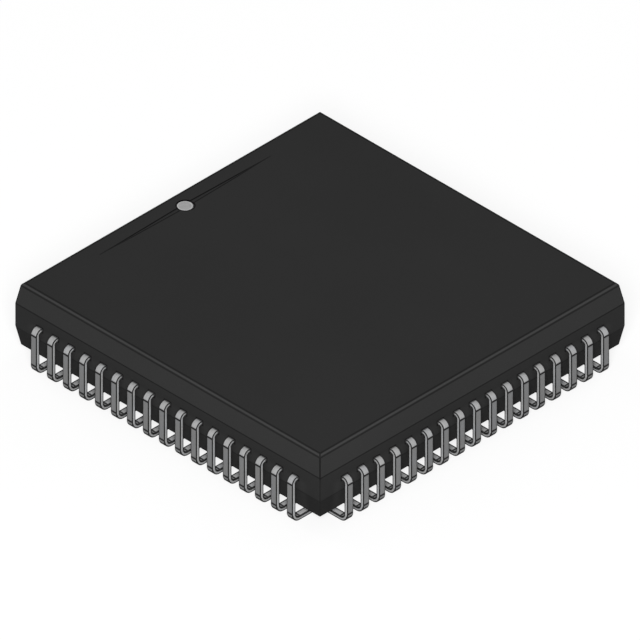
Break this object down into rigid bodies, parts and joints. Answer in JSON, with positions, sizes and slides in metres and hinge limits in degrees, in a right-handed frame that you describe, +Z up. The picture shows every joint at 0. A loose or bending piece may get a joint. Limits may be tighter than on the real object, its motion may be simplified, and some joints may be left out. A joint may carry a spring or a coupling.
{
  "type": "plcc chip",
  "caption": "Square plastic leaded chip carrier: a flat black moulding with J-shaped leads tucked under all four sides, a pin one dot and a wire-bonded die inside.",
  "frame": {"origin": "on the board, in the seating plane of the feet, below the middle of the moulding", "axes": "+Z up from the board; +Y towards the side with the pin one mark; the leads run along X and Y"},
  "size_m": [0.0252, 0.0252, 0.0051],
  "materials": {
    "moulding_compound": "fine matte, as moulded",
    "mark_paint": "matte paint",
    "plated_lead": "satin tin plate on copper alloy",
    "frame_copper": "bare stamped copper alloy",
    "die_adhesive": "silver-filled adhesive",
    "silicon": "polished",
    "bond_gold": "drawn gold wire"
  },
  "bodies": {
    "root": {"mould_body": "moulding_compound", "pin_one_dot": "mark_paint", "leads_north": "plated_lead", "leads_west": "plated_lead", "leads_south": "plated_lead", "leads_east": "plated_lead", "die_paddle": "frame_copper", "die_attach": "die_adhesive", "die": "silicon", "bond_wires_north": "bond_gold", "bond_wires_west": "bond_gold", "bond_wires_south": "bond_gold", "bond_wires_east": "bond_gold"}
  },
  "joints": []
}
